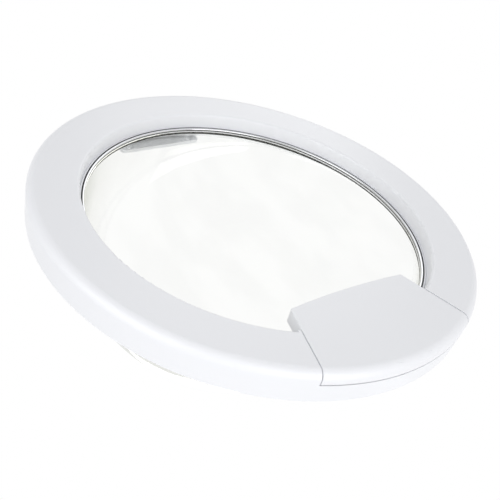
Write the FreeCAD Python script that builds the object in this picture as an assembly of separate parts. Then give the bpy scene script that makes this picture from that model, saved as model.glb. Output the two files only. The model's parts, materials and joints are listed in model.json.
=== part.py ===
import FreeCAD, Part
import math
import os

# Door of a front-loading washing machine: ring, glass bowl, pull handle with latch, and hinge.
# Millimetres. X runs right seen from the front, Y into the machine and Z up. The origin is the
# centre of the hinge plate's four screw holes, on the cabinet face. Depths are counted from the
# flat front face of the ring, and x from the door's own axis.

# Ring
OUTER_R = 235.0
SIDE_DRAFT = 2.7
RING_DEPTH = 35.0
RIM_ROUND = 9.0
RING_WIDTH = 51.0
CREST_ROUND = 3.0
INNER_WALL_DEPTH = 17.0
INNER_WALL_DRAFT = 0.8
WALL = 2.8
BACK_GAP = 6.0
RIB_THICKNESS = 1.6
RIB_DEPTH = 12.0
RIB_STEP = 12.0

# Trim, glass and seal
TRIM_WIDTH = 5.4
TRIM_PROUD = 1.5
TRIM_ROUND = 1.3
TRIM_SHEET = 1.2
TRIM_FLANGE = 7.0
SEAL_LIP = 1.5
SEAL_SHY = 0.6
SEAL_WALL = 3.0
SEAL_COVER = 10.0
GLASS_LAP = 10.0
GLASS_FLANGE_THICKNESS = 4.0
GLASS_RIM_INSET = 2.0
GLASS_WALL = 4.2
GLASS_TAPER = 84.0
GLASS_FLOOR_DEPTH = 99.0
GLASS_FLOOR_THICKNESS = 5.0
GLASS_SLANT = 20.0
GLASS_FULLNESS = 2.6
GLASS_SECTIONS = 6
FLOOR_STEP_INSET = 14.0
FLOOR_STEP_DEPTH = 2.5
FLOOR_STEP_RUN = 12.0

# Inner frame
INNER_FRAME_GAP = 0.3
INNER_PLATE = 3.0
INNER_CLEAR = 3.5
CLAMP_FLARE = 10.5
CLAMP_ROUND = 1.3
CLAMP_COLLAR = 2.2
EDGE_RIB = 2.6
EDGE_RIB_HEIGHT = 5.0
INNER_RIB_HEIGHT = 7.0
INNER_RIB_STEP = 12.0
GROOVE_DEPTH = 0.8
GROOVE_WIDTH = 3.0

# Frame screws
SCREW_CIRCLE_INSET = 22.0
SCREW_FIRST = 40.0
SCREW_STEP = 24.0
SCREWS_EACH_SIDE = 5
SCREW_R = 2.0
SCREW_LENGTH = 20.0
SCREW_HEAD_R = 4.0
SCREW_HEAD = 2.2
SCREW_DRIVE_R = 1.5
SCREW_DRIVE_DEPTH = 1.2
BOSS_R = 4.6
FIT = 0.05
HOLE_CLEAR = 0.3

# Hinge
PIVOT_INSET = 14.0
PIVOT_RISE = 16.0
PLATE_TO_PIVOT = 25.0
PLATE_WIDTH = 26.0
PLATE_HEIGHT = 108.0
PLATE_THICKNESS = 4.0
PLATE_CORNER = 5.0
PLATE_HOLE_R = 2.75
PLATE_HOLE_PITCH_X = 14.0
PLATE_HOLE_PITCH_Z = 84.0
PLATE_SINK_R = 5.0
PLATE_SINK_DEPTH = 2.25
ARM_HEIGHT = 34.0
ARM_ROOT = 8.0
EYE_R = 7.5
HINGE_PIN_R = 3.5
HINGE_PIN_SHORT = 0.5
PIN_CHAMFER = 0.8
HINGE_SIDE_GAP = 0.3
BUSH_FLANGE = 1.2
BUSH_FLANGE_R = 6.4
BUSH_WALL = 1.0
BUSH_LENGTH = 16.0
BARREL_R = 6.4
BARREL_LENGTH = 18.0
LEAF_THICKNESS = 4.0
LEAF_INSET = 17.0
LEAF_COLLAR_GAP = 1.0
LEAF_REACH = 86.0
LEAF_SCREWS_AT = (64.0, 78.0)
LEAF_SCREW_R = 2.5
WEB_WIDTH = 8.0
ARM_SWEEP_GAP = 0.8

# Handle
HANDLE_OVERHANG = 46.5
HANDLE_HALF = 73.0
HANDLE_FLARE = 17.0
HANDLE_BOW = 5.0
HANDLE_BOW_REACH = 56.0
HANDLE_CORNER = 4.0
HANDLE_EDGE = 0.9
HANDLE_WALL = 2.6
SKIRT_DEPTH = 13.2
HANDLE_GAP = 1.0
SKIRT_GAP = 1.3
POCKET_FLOOR = 2.5
HANDLE_RIBS_AT = (27.0, 52.0)
LINER_THICKNESS = 2.0
LINER_FIT = 0.2
LINER_LENGTH = 43.5
HANDLE_PIVOT_INSET = 8.5
HANDLE_PIVOT_DEPTH = 8.5
HANDLE_PIN_R = 2.0
HANDLE_PIN_END = 0.6
HANDLE_EYE_R = 3.4
HANDLE_LUG = 5.5
HANDLE_LUG_AT = 16.0
HANDLE_LUG_ROOT = 6.8
POCKET_EAR = 5.0
LUG_GAP = 0.4
LEVER_HEIGHT = 9.0
LEVER_ARM = 4.0
LEVER_TIP_RISE = 3.0
LEVER_EYE_R = 4.4
LEVER_PAD_LENGTH = 20.0
LEVER_PAD = 2.4
LEVER_SLOT_CLEAR = 2.2
LEVER_SLOT_SIDE = 0.8

# Latch
LATCH_RISE = 6.5
HOOK_HEIGHT = 9.0
HOOK_WIDTH = 8.0
HOOK_REACH = 27.5
HOOK_NOSE = 6.0
HOOK_NOSE_HEIGHT = 6.5
HOOK_EYE_R = 4.6
HOOK_POINT = 2.2
HOOK_POINT_ROUND = 0.75
HOOK_TIP_ROUND = 1.5
TAIL_RISE = 4.0
TAIL_NOSE_R = 1.5
TAIL_GAP = 0.4
LATCH_PIN_R = 2.0
LATCH_EAR = 2.0
LATCH_EAR_HALF = 5.0
LATCH_EAR_ROUND = 2.5
LATCH_SIDE_GAP = 0.6
BRACKET_SHEET = 2.0
BRACKET_HEIGHT = 44.0
BRACKET_FOOT = 10.0
BRACKET_TAB = 1.5
BRACKET_TAB_HALF = 4.5
BRACKET_TAB_RISE = 7.0
HOOK_SLOT_FRONT = 1.5
HOOK_SLOT_SWING = 4.5
LATCH_SCREW_AT = 15.0
LATCH_SCREW_LENGTH = 9.0
LATCH_SPRING_R = 2.4
LATCH_SPRING_WIRE = 0.8
LATCH_SPRING_TURNS = 4
HANDLE_SPRING_R = 3.1
HANDLE_SPRING_WIRE = 0.9
HANDLE_SPRING_TURNS = 5
HANDLE_SPRING_PITCH = 1.4
HANDLE_SPRING_LEG = 14.0
SPRING_SEAT_GAP = 0.2

# Places worked out from the sizes above
FRONT_Y = -(BACK_GAP + RING_DEPTH)
PIVOT_R = OUTER_R - PIVOT_INSET
PIVOT_DEPTH = RING_DEPTH - PIVOT_RISE
DOOR_X = PIVOT_R - PLATE_TO_PIVOT
BACK_R = OUTER_R - SIDE_DRAFT
CREST_R = OUTER_R - RING_WIDTH
SEAT_R = CREST_R - INNER_WALL_DRAFT
TRIM_OUTER_R = SEAT_R - FIT
TRIM_INNER_R = TRIM_OUTER_R - TRIM_WIDTH
TRIM_FLANGE_R = CREST_R + TRIM_FLANGE
TRIM_BACK = INNER_WALL_DEPTH + TRIM_SHEET
GLASS_FLANGE_R = CREST_R + GLASS_LAP
GLASS_RIM_R = CREST_R - GLASS_RIM_INSET
GLASS_FLOOR_R = GLASS_RIM_R - GLASS_TAPER
GLASS_FRONT = TRIM_BACK + SEAL_LIP
GLASS_BACK = GLASS_FRONT + GLASS_FLANGE_THICKNESS
FLOOR_STEP_R = GLASS_FLOOR_R - FLOOR_STEP_INSET
SEAL_OUTER_R = GLASS_FLANGE_R + SEAL_WALL
SEAL_INNER_R = GLASS_FLANGE_R - SEAL_COVER
CLAMP_DEPTH = GLASS_BACK + SEAL_LIP
CLAMP_OUTER_R = SEAL_OUTER_R + CLAMP_COLLAR
INNER_FRAME_R = BACK_R - WALL - INNER_FRAME_GAP
INNER_FRAME_BORE_R = GLASS_RIM_R + INNER_CLEAR
PLATE_FRONT = RING_DEPTH - INNER_PLATE
SCREW_CIRCLE_R = OUTER_R - SCREW_CIRCLE_INSET
ARM_TOP = ARM_HEIGHT / 2
BARREL_START = ARM_TOP + HINGE_SIDE_GAP + BUSH_FLANGE
HINGE_PIN_LENGTH = 2 * (BARREL_START + BARREL_LENGTH - HINGE_PIN_SHORT)
BUSH_R = HINGE_PIN_R + BUSH_WALL
LEAF_INNER_R = CLAMP_OUTER_R + LEAF_COLLAR_GAP
LEAF_OUTER_R = OUTER_R - LEAF_INSET
POCKET_DEPTH = SKIRT_DEPTH + SKIRT_GAP
POCKET_BACK = POCKET_DEPTH + POCKET_FLOOR
HANDLE_CORNER_X = CREST_R - HANDLE_OVERHANG
LINER_END_X = HANDLE_CORNER_X + LINER_LENGTH
HANDLE_PIVOT_X = OUTER_R - HANDLE_PIVOT_INSET
EAR_START = HANDLE_LUG_AT + HANDLE_LUG + LUG_GAP
HANDLE_PIN_LENGTH = 2 * (EAR_START + POCKET_EAR + HANDLE_PIN_END)
LATCH_DEPTH = PLATE_FRONT - LATCH_RISE
LEVER_TIP_DEPTH = LATCH_DEPTH - LEVER_TIP_RISE
LEVER_FACE_X = HANDLE_PIVOT_X - LEVER_ARM - FIT
TAIL_X = LEVER_FACE_X - TAIL_GAP
TAB_X = CLAMP_OUTER_R + LEAF_COLLAR_GAP
LATCH_X = (TAB_X + HANDLE_PIVOT_X) / 2
BRACKET_END_X = LATCH_X + BRACKET_FOOT
PAST = 1.0
NEAR_ZERO = 1e-6
HALF_TURN = 180.0

Vector = FreeCAD.Vector
INTO_MACHINE = Vector(0, 1, 0)
UP = Vector(0, 0, 1)


# Shared shapes

def at(x, depth, z=0.0):
    """Point given by its distance from the door's axis, its depth and its height."""
    return Vector(DOOR_X + x, FRONT_Y + depth, z)


def around(angle, radius):
    """x and z of a place on a circle about the door's axis, from the handle upwards."""
    turn = math.radians(angle)
    return radius * math.cos(turn), radius * math.sin(turn)


def rounded(corners, place):
    """Closed face through corners (u, v, rounding), with a tangent arc at each rounded corner."""
    count = len(corners)
    spans = []
    for index, (u, v, radius) in enumerate(corners):
        here = place(u, v)
        if radius == 0:
            spans.append((here, None, here))
            continue
        before = place(*corners[index - 1][:2])
        after = place(*corners[(index + 1) % count][:2])
        back = (before - here).normalize()
        ahead = (after - here).normalize()
        half = back.getAngle(ahead) / 2
        reach = radius / math.tan(half)
        inward = (back + ahead).normalize()
        middle = here + inward * (radius / math.sin(half) - radius)
        spans.append((here + back * reach, middle, here + ahead * reach))
    edges = []
    for index, (start, middle, end) in enumerate(spans):
        if middle is not None:
            edges.append(Part.Arc(start, middle, end).toShape())
        following = spans[(index + 1) % count][0]
        if end.distanceToPoint(following) > NEAR_ZERO:
            edges.append(Part.makeLine(end, following))
    return Part.Face(Part.Wire(edges))


def turned(corners):
    """Ring turned about the door's axis from an outline of (radius, depth, rounding)."""
    return rounded(corners, at).revolve(at(0, 0), INTO_MACHINE, 360)


def prism(corners, near, far):
    """Outline seen from the front, (x, z, rounding), between two depths."""
    face = rounded(corners, lambda x, z: at(x, near, z))
    return face.extrude(INTO_MACHINE * (far - near))


def upright(corners, low, high):
    """Outline seen from above, (x, depth, rounding), between two heights."""
    face = rounded(corners, lambda x, depth: at(x, depth, low))
    return face.extrude(UP * (high - low))


def rod(x, depth, low, high, radius):
    """Vertical cylinder."""
    return Part.makeCylinder(radius, high - low, at(x, depth, low), UP)


def stud(x, z, near, far, radius):
    """Cylinder that runs into the machine."""
    return Part.makeCylinder(radius, far - near, at(x, near, z), INTO_MACHINE)


def block(x_low, x_high, near, far, low, high):
    """Box between two places along each axis."""
    return Part.makeBox(x_high - x_low, far - near, high - low, at(x_low, near, low))


def spoke(angle, inner, outer, near, far, thickness):
    """Radial rib on a circle about the door's axis."""
    rib = block(inner, outer, near, far, -thickness / 2, thickness / 2)
    rib.rotate(at(0, 0), INTO_MACHINE * -1, angle)
    return rib


def fused(shapes):
    """One solid from shapes that meet."""
    return shapes[0].multiFuse(shapes[1:]).removeSplitter()


def screw(x, z, head_face, radius, head_radius, length):
    """Pan-head screw driven from the back, its head on head_face."""
    head = stud(x, z, head_face, head_face + SCREW_HEAD, head_radius)
    shank = stud(x, z, head_face - length, head_face + SCREW_HEAD / 2, radius)
    drive_start = head_face + SCREW_HEAD - SCREW_DRIVE_DEPTH
    drive = stud(x, z, drive_start, head_face + SCREW_HEAD + PAST, SCREW_DRIVE_R)
    return fused([head, shank]).cut(drive)


def pin(x, depth, low, high, radius):
    """Vertical pin with chamfered ends."""
    plain = rod(x, depth, low, high, radius)
    ends = [edge for edge in plain.Edges if edge.Closed]
    return plain.makeChamfer(PIN_CHAMFER, ends)


def coil(centre, axis, radius, wire, pitch, turns):
    """Helical spring that starts at centre and runs along axis."""
    path = Part.makeHelix(pitch, pitch * turns, radius)
    halves = [Part.makeCircle(wire / 2, Vector(radius, 0, 0), Vector(0, 1, 0), start, start + HALF_TURN)
              for start in (0, HALF_TURN)]
    spring = Part.Wire(path).makePipeShell([Part.Wire(halves)], True, True)
    turn = FreeCAD.Rotation(UP, axis)
    spring.Placement = FreeCAD.Placement(centre, turn)
    return spring


def envelope(inset):
    """Outer form of the ring filled to its axis, its skin moved inwards by inset."""
    return turned([
        (0, inset, 0),
        (OUTER_R - inset, inset, RIM_ROUND - inset),
        (BACK_R - inset, RING_DEPTH, 0),
        (0, RING_DEPTH, 0),
    ])


def panel(grow):
    """Outline of the handle, its inner edge and sides moved outwards by grow."""
    lean = math.radians(HANDLE_FLARE)
    near = HANDLE_CORNER_X - grow
    far = OUTER_R + RIM_ROUND
    half_near = HANDLE_HALF + grow / math.cos(lean) - grow * math.tan(lean)
    half_far = half_near + (far - near) * math.tan(lean)
    bow_radius = HANDLE_BOW_REACH * half_near / HANDLE_BOW
    return [
        (near - HANDLE_BOW, 0, bow_radius),
        (near, half_near, HANDLE_CORNER),
        (far, half_far, 0),
        (far, -half_far, 0),
        (near, -half_near, HANDLE_CORNER),
    ]


def screw_angles():
    """Angles of the frame screws, the same above and below the handle."""
    upper = [SCREW_FIRST + SCREW_STEP * index for index in range(SCREWS_EACH_SIDE)]
    return upper + [-angle for angle in upper]


def rib_angles(step, handle_side, hinge_side):
    """Angles of the ribs half way between steps, clear of the handle and hinge zones."""
    steps = [step * (index + 0.5) for index in range(int(360 / step))]
    return [angle for angle in steps if handle_side < angle < 360 - handle_side
            and abs(angle - 180) > hinge_side]


# Ring pieces

def handle_zone():
    """Half angle that the handle's pocket takes up on the ring."""
    corners = panel(HANDLE_GAP + POCKET_FLOOR)
    return math.degrees(math.atan2(corners[2][1], OUTER_R))


def hinge_zone():
    """Half angle that the hinge brackets take up on the ring."""
    return math.degrees(math.asin(LEAF_REACH / LEAF_INNER_R))


def outer_frame():
    shell = turned([
        (CREST_R, 0, CREST_ROUND),
        (OUTER_R, 0, RIM_ROUND),
        (BACK_R, RING_DEPTH, 0),
        (BACK_R - WALL, RING_DEPTH, 0),
        (OUTER_R - WALL, WALL, RIM_ROUND - WALL),
        (CREST_R + WALL, WALL, 0),
        (SEAT_R + WALL, INNER_WALL_DEPTH, 0),
        (SEAT_R, INNER_WALL_DEPTH, 0),
    ])
    form = envelope(WALL / 2)
    inner = CREST_R + WALL / 2
    ribs = [spoke(angle, inner, OUTER_R, WALL / 2, RIB_DEPTH, RIB_THICKNESS).common(form)
            for angle in rib_angles(RIB_STEP, handle_zone(), hinge_zone())]
    bosses = []
    pilots = []
    for angle in screw_angles():
        x, z = around(angle, SCREW_CIRCLE_R)
        bosses.append(stud(x, z, WALL / 2, PLATE_FRONT, BOSS_R))
        pilots.append(stud(x, z, RING_DEPTH - SCREW_LENGTH - PAST, PLATE_FRONT + PAST, SCREW_R + FIT))
    body = fused([shell, handle_pocket()] + ribs + bosses)
    body = body.cut(prism(panel(HANDLE_GAP), -PAST, POCKET_DEPTH))
    body = fused([body] + pocket_ears())
    notch_half = ARM_TOP + ARM_SWEEP_GAP
    notch = block(-OUTER_R - PAST, EYE_R - PIVOT_R, PIVOT_DEPTH - EYE_R, RING_DEPTH + PAST,
                  -notch_half, notch_half)
    slot_half = LEVER_HEIGHT / 2 + LEVER_SLOT_SIDE
    slot = block(LEVER_FACE_X - LEVER_SLOT_CLEAR, HANDLE_PIVOT_X + LEVER_SLOT_CLEAR,
                 POCKET_DEPTH - PAST, POCKET_BACK + PAST, -slot_half, slot_half)
    bore = rod(HANDLE_PIVOT_X, HANDLE_PIVOT_DEPTH, -HANDLE_PIN_LENGTH, HANDLE_PIN_LENGTH,
               HANDLE_PIN_R + FIT)
    return body.cut(pilots + [notch, slot, bore])


def handle_pocket():
    """Walls and floor of the handle's pocket, before it is hollowed."""
    filled = envelope(0).common(prism(panel(HANDLE_GAP + POCKET_FLOOR), 0, POCKET_BACK))
    return filled.cut(stud(0, 0, -PAST, RING_DEPTH, SEAT_R))


def pocket_ears():
    """Two ears on the pocket's floor that carry the handle pin."""
    ears = []
    for low in (EAR_START, -EAR_START - POCKET_EAR):
        high = low + POCKET_EAR
        ears.append(rod(HANDLE_PIVOT_X, HANDLE_PIVOT_DEPTH, low, high, HANDLE_EYE_R))
        ears.append(block(HANDLE_PIVOT_X - HANDLE_EYE_R, HANDLE_PIVOT_X,
                          HANDLE_PIVOT_DEPTH, POCKET_BACK, low, high))
    return ears


def trim_ring():
    front = INNER_WALL_DEPTH - TRIM_PROUD
    return turned([
        (TRIM_INNER_R, front, TRIM_ROUND),
        (TRIM_OUTER_R, front, TRIM_ROUND / 2),
        (TRIM_OUTER_R, INNER_WALL_DEPTH, 0),
        (TRIM_FLANGE_R, INNER_WALL_DEPTH, 0),
        (TRIM_FLANGE_R, TRIM_BACK, 0),
        (TRIM_INNER_R, TRIM_BACK, 0),
    ])


def glass_seal():
    return turned([
        (TRIM_INNER_R + SEAL_SHY, TRIM_BACK, 0),
        (SEAL_OUTER_R, TRIM_BACK, SEAL_LIP / 2),
        (SEAL_OUTER_R, CLAMP_DEPTH, SEAL_LIP / 2),
        (SEAL_INNER_R, CLAMP_DEPTH, 0),
        (SEAL_INNER_R, GLASS_BACK, 0),
        (GLASS_FLANGE_R, GLASS_BACK, 0),
        (GLASS_FLANGE_R, GLASS_FRONT, 0),
        (TRIM_INNER_R + SEAL_SHY, GLASS_FRONT, 0),
    ])


def bowl_form(rim_radius, rim_depth, floor_radius, floor_depth):
    """Rounded bowl that leans from the ring's plane at its rim to the slant of its floor."""
    sections = []
    for index in range(GLASS_SECTIONS):
        turn = math.pi / 2 * index / (GLASS_SECTIONS - 1)
        shrink = math.cos(turn) ** (2 / GLASS_FULLNESS)
        sink = math.sin(turn) ** (2 / GLASS_FULLNESS)
        radius = floor_radius + (rim_radius - floor_radius) * shrink
        section = Part.Wire([Part.makeCircle(radius, Vector(), INTO_MACHINE)])
        section.rotate(Vector(), Vector(1, 0, 0), GLASS_SLANT * sink)
        section.translate(at(0, rim_depth + (floor_depth - rim_depth) * sink))
        sections.append(section)
    return Part.makeLoft(sections, True, False)


def floor_step(radius, floor_depth):
    """Shallow dish with a gentle side, pressed into the slanted floor."""
    slant = math.radians(GLASS_SLANT)
    normal = Vector(0, math.cos(slant), math.sin(slant))
    start = at(0, floor_depth) - normal * GLASS_WALL
    height = GLASS_WALL + FLOOR_STEP_DEPTH
    side = FLOOR_STEP_RUN * height / FLOOR_STEP_DEPTH
    return Part.makeCone(radius + side, radius, height, start, normal)


def glass_bowl():
    flange = stud(0, 0, GLASS_FRONT, GLASS_BACK, GLASS_FLANGE_R)
    outside = bowl_form(GLASS_RIM_R, GLASS_BACK - PAST, GLASS_FLOOR_R, GLASS_FLOOR_DEPTH)
    inner_floor = GLASS_FLOOR_DEPTH - GLASS_FLOOR_THICKNESS
    inside = bowl_form(GLASS_RIM_R - GLASS_WALL, GLASS_FRONT - PAST,
                       GLASS_FLOOR_R - GLASS_WALL, inner_floor)
    solid = fused([flange, outside, floor_step(FLOOR_STEP_R + GLASS_WALL, GLASS_FLOOR_DEPTH)])
    return solid.cut([inside, floor_step(FLOOR_STEP_R, inner_floor)])


def inner_frame():
    body = turned([
        (INNER_FRAME_BORE_R, CLAMP_DEPTH, 0),
        (SEAL_OUTER_R, CLAMP_DEPTH, 0),
        (SEAL_OUTER_R, TRIM_BACK, 0),
        (CLAMP_OUTER_R, TRIM_BACK, 0),
        (CLAMP_OUTER_R, PLATE_FRONT, 0),
        (INNER_FRAME_R - EDGE_RIB, PLATE_FRONT, 0),
        (INNER_FRAME_R - EDGE_RIB, PLATE_FRONT - EDGE_RIB_HEIGHT, 0),
        (INNER_FRAME_R, PLATE_FRONT - EDGE_RIB_HEIGHT, 0),
        (INNER_FRAME_R, RING_DEPTH, 0),
        (INNER_FRAME_BORE_R + CLAMP_FLARE, RING_DEPTH, CLAMP_ROUND),
    ])
    groove_outer = INNER_FRAME_R - EDGE_RIB
    groove = turned([
        (groove_outer - GROOVE_WIDTH, RING_DEPTH - GROOVE_DEPTH, 0),
        (groove_outer, RING_DEPTH - GROOVE_DEPTH, 0),
        (groove_outer, RING_DEPTH + PAST, 0),
        (groove_outer - GROOVE_WIDTH, RING_DEPTH + PAST, 0),
    ])
    rib_front = PLATE_FRONT - INNER_RIB_HEIGHT
    latch_zone = math.degrees(math.asin(BRACKET_HEIGHT / 2 / TAB_X))
    ribs = [spoke(angle, CLAMP_OUTER_R - CLAMP_COLLAR / 2, INNER_FRAME_R - EDGE_RIB / 2,
                  rib_front, PLATE_FRONT + INNER_PLATE / 2, RIB_THICKNESS)
            for angle in rib_angles(INNER_RIB_STEP, latch_zone, hinge_zone())]
    body = fused([body.cut(groove)] + ribs)
    holes = []
    for angle in screw_angles():
        x, z = around(angle, SCREW_CIRCLE_R)
        holes.append(stud(x, z, rib_front - PAST, PLATE_FRONT, BOSS_R + HOLE_CLEAR))
        holes.append(stud(x, z, PLATE_FRONT - PAST, RING_DEPTH + PAST, SCREW_R + HOLE_CLEAR))
    for x, z in leaf_screw_places():
        holes.append(stud(x, z, PLATE_FRONT - PAST, RING_DEPTH + PAST, LEAF_SCREW_R + HOLE_CLEAR))
    for z in (LATCH_SCREW_AT, -LATCH_SCREW_AT):
        holes.append(stud(LATCH_X, z, PLATE_FRONT - PAST, RING_DEPTH + PAST, SCREW_R + HOLE_CLEAR))
    window_half = ARM_TOP + ARM_SWEEP_GAP
    window = block(-OUTER_R - PAST, -LEAF_INNER_R, TRIM_BACK, RING_DEPTH + PAST,
                   -window_half, window_half)
    return body.cut(holes + [window, hook_slot(PLATE_FRONT - PAST, RING_DEPTH + PAST)])


def frame_screws():
    places = [around(angle, SCREW_CIRCLE_R) for angle in screw_angles()]
    return Part.makeCompound([
        screw(x, z, RING_DEPTH, SCREW_R, SCREW_HEAD_R, SCREW_LENGTH) for x, z in places])


# Hinge pieces

def hinge_plate():
    """Cast plate with one arm that reaches forward to the hinge axis."""
    half_width = PLATE_WIDTH / 2
    half_height = PLATE_HEIGHT / 2
    plate_front = RING_DEPTH + BACK_GAP - PLATE_THICKNESS
    cabinet = RING_DEPTH + BACK_GAP
    plate = prism([
        (-DOOR_X - half_width, -half_height, PLATE_CORNER),
        (-DOOR_X + half_width, -half_height, PLATE_CORNER),
        (-DOOR_X + half_width, half_height, PLATE_CORNER),
        (-DOOR_X - half_width, half_height, PLATE_CORNER),
    ], plate_front, cabinet)
    root = -DOOR_X - half_width
    eye = rod(-PIVOT_R, PIVOT_DEPTH, -ARM_TOP, ARM_TOP, EYE_R)
    left_x, left_depth = tangent_place(root + PIVOT_R, plate_front - PIVOT_DEPTH, 1)
    right_x, right_depth = tangent_place(root + ARM_ROOT + PIVOT_R, plate_front - PIVOT_DEPTH, -1)
    web = upright([
        (left_x - PIVOT_R, left_depth + PIVOT_DEPTH, 0),
        (root, plate_front, 0),
        (root, cabinet, 0),
        (root + ARM_ROOT, cabinet, 0),
        (root + ARM_ROOT, plate_front, 0),
        (right_x - PIVOT_R, right_depth + PIVOT_DEPTH, 0),
        (-PIVOT_R, PIVOT_DEPTH, 0),
    ], -ARM_TOP, ARM_TOP)
    body = fused([plate, eye, web])
    cuts = [rod(-PIVOT_R, PIVOT_DEPTH, -PLATE_HEIGHT, PLATE_HEIGHT, HINGE_PIN_R + FIT)]
    for x in (-PLATE_HOLE_PITCH_X / 2, PLATE_HOLE_PITCH_X / 2):
        for z in (-PLATE_HOLE_PITCH_Z / 2, PLATE_HOLE_PITCH_Z / 2):
            cuts.append(stud(x - DOOR_X, z, plate_front - PAST, cabinet + PAST, PLATE_HOLE_R))
            cuts.append(Part.makeCone(PLATE_SINK_R, PLATE_HOLE_R, PLATE_SINK_DEPTH,
                                      at(x - DOOR_X, plate_front, z), INTO_MACHINE))
    return body.cut(cuts)


def tangent_place(x, depth, side):
    """Where a line from (x, depth) touches the hinge eye, both counted from the hinge axis."""
    away = math.hypot(x, depth)
    turn = math.atan2(depth, x) + side * math.acos(EYE_R / away)
    return EYE_R * math.cos(turn), EYE_R * math.sin(turn)


def hinge_pin():
    half = HINGE_PIN_LENGTH / 2
    return pin(-PIVOT_R, PIVOT_DEPTH, -half, half, HINGE_PIN_R)


def leaf_screw_places():
    """x and z of the screws that hold the two hinge brackets."""
    middle = (LEAF_INNER_R + LEAF_OUTER_R) / 2
    places = []
    for side in (1, -1):
        for height in LEAF_SCREWS_AT:
            places.append((-math.sqrt(middle ** 2 - height ** 2), side * height))
    return places


def hinge_bracket(side):
    """Door half of the hinge: curved leaf on the inner frame, web and barrel."""
    low, high = sorted((side * BARREL_START, side * LEAF_REACH))
    leaf = turned([
        (LEAF_INNER_R, PLATE_FRONT - LEAF_THICKNESS, 0),
        (LEAF_OUTER_R, PLATE_FRONT - LEAF_THICKNESS, 0),
        (LEAF_OUTER_R, PLATE_FRONT, 0),
        (LEAF_INNER_R, PLATE_FRONT, 0),
    ]).common(block(-OUTER_R, 0, 0, RING_DEPTH, low, high))
    low, high = sorted((side * BARREL_START, side * (BARREL_START + BARREL_LENGTH)))
    barrel = rod(-PIVOT_R, PIVOT_DEPTH, low, high, BARREL_R)
    web = block(-PIVOT_R, WEB_WIDTH - PIVOT_R, PIVOT_DEPTH, PLATE_FRONT, low, high)
    bore = rod(-PIVOT_R, PIVOT_DEPTH, low - PAST, high + PAST, BUSH_R + FIT)
    holes = [stud(x, z, 0, RING_DEPTH, LEAF_SCREW_R + FIT) for x, z in leaf_screw_places()]
    return fused([leaf, web, barrel]).cut([bore] + holes)


def hinge_bush(side):
    """Plain bush pressed into a barrel, its flange against the arm."""
    face = side * (BARREL_START - BUSH_FLANGE)
    low, high = sorted((face, side * BARREL_START))
    flange = rod(-PIVOT_R, PIVOT_DEPTH, low, high, BUSH_FLANGE_R)
    low, high = sorted((face, side * (BARREL_START + BUSH_LENGTH)))
    sleeve = rod(-PIVOT_R, PIVOT_DEPTH, low, high, BUSH_R)
    bore = rod(-PIVOT_R, PIVOT_DEPTH, low - PAST, high + PAST, HINGE_PIN_R + FIT)
    return fused([flange, sleeve]).cut(bore)


def hinge_screws():
    length = INNER_PLATE + LEAF_THICKNESS
    return Part.makeCompound([
        screw(x, z, RING_DEPTH, LEAF_SCREW_R, SCREW_HEAD_R, length) for x, z in leaf_screw_places()])


# Handle pieces

def handle():
    blank = envelope(0).common(prism(panel(0), -PAST, SKIRT_DEPTH))
    blank = blank.makeFillet(HANDLE_EDGE, panel_edges(blank))
    hollow = envelope(HANDLE_WALL).common(prism(panel(-HANDLE_WALL), 0, SKIRT_DEPTH + PAST))
    under_liner = SKIRT_DEPTH - LINER_THICKNESS
    pieces = [blank.cut(hollow)]
    lip = HANDLE_CORNER_X - HANDLE_BOW / 2
    for z in HANDLE_RIBS_AT:
        for middle in (z, -z):
            pieces.append(block(lip, LINER_END_X, HANDLE_WALL / 2, under_liner,
                                middle - RIB_THICKNESS / 2, middle + RIB_THICKNESS / 2))
    for low in (HANDLE_LUG_AT, -HANDLE_LUG_AT - HANDLE_LUG):
        high = low + HANDLE_LUG
        pieces.append(rod(HANDLE_PIVOT_X, HANDLE_PIVOT_DEPTH, low, high, HANDLE_EYE_R))
        pieces.append(block(HANDLE_PIVOT_X - HANDLE_LUG_ROOT, HANDLE_PIVOT_X + HANDLE_EYE_R,
                            HANDLE_WALL / 2, HANDLE_PIVOT_DEPTH, low, high))
    bore = rod(HANDLE_PIVOT_X, HANDLE_PIVOT_DEPTH, -HANDLE_PIN_LENGTH / 2, HANDLE_PIN_LENGTH / 2,
               HANDLE_PIN_R + FIT)
    return fused(pieces).cut(bore)


def panel_edges(blank):
    """Front edges of the handle's sides and lip, without the line where the rim turns over."""
    turnover = OUTER_R - RIM_ROUND
    edges = []
    for edge in blank.Edges:
        places = edge.discretize(5)
        on_face = all(abs(place.y - FRONT_Y) < FIT for place in places)
        middle = places[2]
        if on_face and math.hypot(middle.x - DOOR_X, middle.z) < turnover - FIT:
            edges.append(edge)
    return edges


def handle_liner():
    """Smooth plate that closes the underside of the grip."""
    inside = prism(panel(-HANDLE_WALL - LINER_FIT), SKIRT_DEPTH - LINER_THICKNESS, SKIRT_DEPTH)
    reach = OUTER_R + RIM_ROUND
    return inside.cut(block(LINER_END_X, reach + PAST, 0, RING_DEPTH, -reach, reach))


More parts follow.
